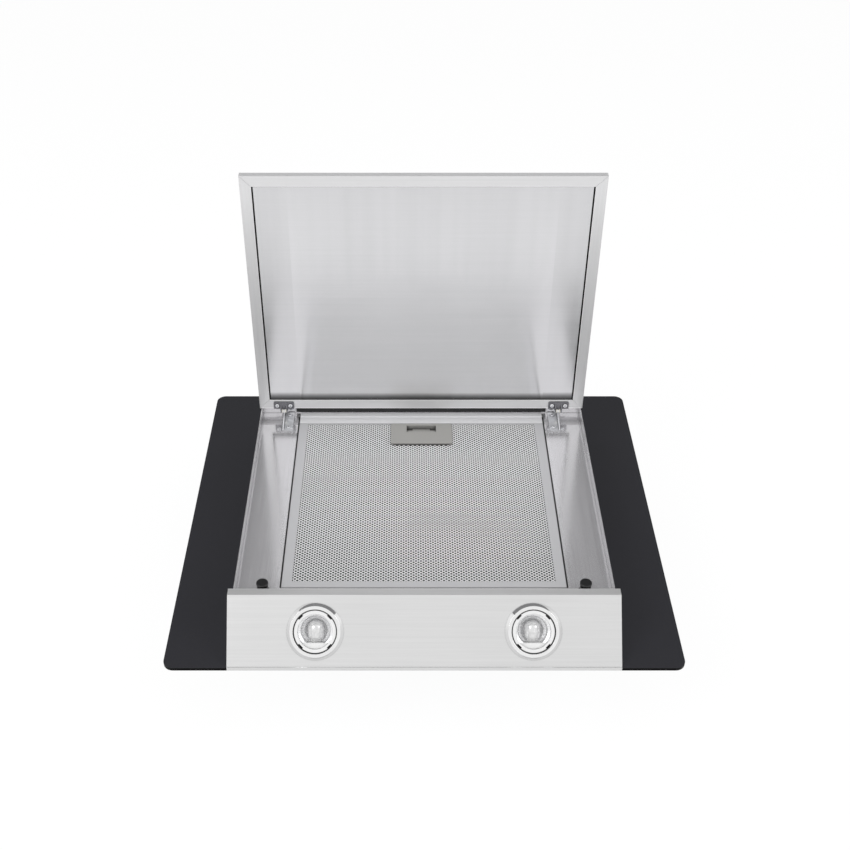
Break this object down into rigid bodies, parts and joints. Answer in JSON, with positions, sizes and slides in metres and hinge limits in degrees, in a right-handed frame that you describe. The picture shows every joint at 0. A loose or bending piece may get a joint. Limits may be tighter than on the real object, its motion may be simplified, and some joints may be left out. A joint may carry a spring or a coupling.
{
  "type": "range hood",
  "caption": "Black glass range hood lying with its suction side up: steel body with a swing-up lid, grease filter, sloped lamp band, blower housing and duct spigot.",
  "frame": {"origin": "under the middle of the glass, on the flat back of the blower housing, where the part rests", "axes": "+X across the glass, +Y from the lamp band to the lid hinges, +Z out of the suction side"},
  "size_m": [0.6, 0.52, 0.5737],
  "materials": {
    "black_glass": "polished black tempered glass",
    "seal_rubber": "soft black gasket",
    "brushed_steel": "brushed stainless steel",
    "steel_liner": "bright brushed stainless liner",
    "zinc": "bright zinc plate",
    "nylon": "natural nylon",
    "felt": "black damping felt",
    "black_plastic": "black moulded plastic",
    "aluminium": "satin aluminium",
    "wool": "knitted aluminium wool",
    "grey_plastic": "grey moulded plastic",
    "spring_steel": "spring steel",
    "bezel_grey": "pale grey lacquer",
    "clear_glass": "clear glass",
    "reflector": "bright stepped reflector",
    "galvanised": "galvanised sheet",
    "motor_grey": "grey lacquered motor can",
    "white_plastic": "white moulded plastic"
  },
  "bodies": {
    "hood_body": {"glass_panel": "black_glass", "glass_gasket": "seal_rubber", "glass_fixings": "zinc", "body_tray": "brushed_steel", "filter_seat": "galvanised", "lamp_band": "brushed_steel", "hinge_bracket_left": "zinc", "hinge_bracket_right": "zinc", "hinge_washers": "nylon", "body_hinge_screws": "zinc", "catch_sleeve_left": "black_plastic", "catch_sleeve_right": "black_plastic", "catch_springs": "spring_steel", "filter_frame": "aluminium", "filter_face_mesh": "aluminium", "filter_pack": "wool", "filter_back_mesh": "aluminium", "filter_handle": "grey_plastic", "latch_springs": "spring_steel", "lamp_bezel_left": "bezel_grey", "lamp_bezel_right": "bezel_grey", "lamp_retainer_left": "bezel_grey", "lamp_retainer_right": "bezel_grey", "lamp_lens_left": "clear_glass", "lamp_lens_right": "clear_glass", "lamp_reflector_left": "reflector", "lamp_reflector_right": "reflector", "lamp_bulb_left": "clear_glass", "lamp_bulb_right": "clear_glass", "lamp_holders": "white_plastic", "lamp_cups": "galvanised", "blower_housing": "galvanised", "blower_scroll": "galvanised", "blower_feet": "seal_rubber", "inlet_ring": "black_plastic", "motor": "motor_grey", "motor_capacitor": "white_plastic", "terminal_box": "white_plastic", "cable_gland": "black_plastic", "duct_spigot": "galvanised", "damper_rods": "spring_steel", "switch_body": "black_plastic"},
    "lid": {"lid_tray": "brushed_steel", "lid_liner": "steel_liner", "lid_pad": "felt", "hinge_leaf_left": "zinc", "hinge_leaf_right": "zinc", "hinge_pins": "zinc", "lid_hinge_screws": "zinc"},
    "left_catch_plunger": {"catch_plunger_left": "black_plastic"},
    "right_catch_plunger": {"catch_plunger_right": "black_plastic"},
    "latch": {"filter_latch": "grey_plastic"},
    "fan": {"impeller": "black_plastic", "motor_shaft": "spring_steel"},
    "left_flap": {"damper_flap_left": "black_plastic"},
    "right_flap": {"damper_flap_right": "black_plastic"},
    "button_off": {"button_off": "grey_plastic"},
    "button_low": {"button_low": "grey_plastic"},
    "button_high": {"button_high": "grey_plastic"},
    "button_lamp": {"button_lamp": "grey_plastic"}
  },
  "joints": [
    {"name": "lid_hinge", "type": "hinge", "parent": "hood_body", "child": "lid", "pos_m": [0, 0.144, 0.2215], "axis": [1, 0, 0], "range_deg": [0, 90]},
    {"name": "left_catch_press", "type": "slide", "parent": "hood_body", "child": "left_catch_plunger", "axis": [0, 0, -1], "range_m": [0, 0.003], "stiffness_N_per_m": 800, "springref_m": -0.002},
    {"name": "right_catch_press", "type": "slide", "parent": "hood_body", "child": "right_catch_plunger", "axis": [0, 0, -1], "range_m": [0, 0.003], "stiffness_N_per_m": 800, "springref_m": -0.002},
    {"name": "filter_latch_slide", "type": "slide", "parent": "hood_body", "child": "latch", "axis": [0, -1, 0], "range_m": [0, 0.006], "stiffness_N_per_m": 500, "springref_m": -0.002},
    {"name": "fan_spin", "type": "hinge", "parent": "hood_body", "child": "fan", "pos_m": [-0.08229, 0.002, 0.068], "axis": [0, 0, 1], "continuous": true},
    {"name": "left_flap_swing", "type": "hinge", "parent": "hood_body", "child": "left_flap", "pos_m": [-0.0032, 0.141, 0.076], "axis": [0, 0, -1], "range_deg": [0, 75]},
    {"name": "right_flap_swing", "type": "hinge", "parent": "hood_body", "child": "right_flap", "pos_m": [0.0032, 0.141, 0.076], "axis": [0, 0, 1], "range_deg": [0, 75]},
    {"name": "button_off_press", "type": "slide", "parent": "hood_body", "child": "button_off", "axis": [-1, 0, 0], "range_m": [0, 0.002], "stiffness_N_per_m": 600, "springref_m": -0.001},
    {"name": "button_low_press", "type": "slide", "parent": "hood_body", "child": "button_low", "axis": [-1, 0, 0], "range_m": [0, 0.002], "stiffness_N_per_m": 600, "springref_m": -0.001},
    {"name": "button_high_press", "type": "slide", "parent": "hood_body", "child": "button_high", "axis": [-1, 0, 0], "range_m": [0, 0.002], "stiffness_N_per_m": 600, "springref_m": -0.001},
    {"name": "button_lamp_press", "type": "slide", "parent": "hood_body", "child": "button_lamp", "axis": [-1, 0, 0], "range_m": [0, 0.002], "stiffness_N_per_m": 600, "springref_m": -0.001}
  ]
}
